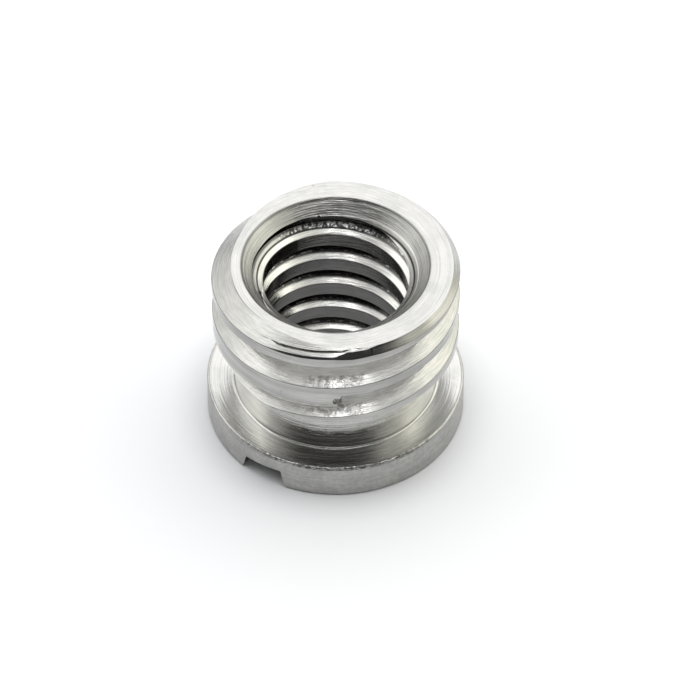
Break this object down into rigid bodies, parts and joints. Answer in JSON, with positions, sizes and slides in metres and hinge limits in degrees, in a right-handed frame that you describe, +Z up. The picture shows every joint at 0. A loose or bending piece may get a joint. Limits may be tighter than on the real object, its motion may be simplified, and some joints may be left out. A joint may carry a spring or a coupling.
{
  "type": "tripod thread adapter",
  "caption": "Short flanged metal bushing with a coarse outer thread, a threaded through bore with a countersunk mouth, and a driver slot across the flange.",
  "frame": {"origin": "on the thread axis at the flange's underside", "axes": "+Z up the thread axis away from the flange; the driver slot runs along Y"},
  "size_m": [0.0098, 0.0098, 0.0075],
  "materials": {
    "plated_steel": "bright plated, with lathe marks"
  },
  "bodies": {
    "root": {"adapter_bushing": "plated_steel"}
  },
  "joints": []
}
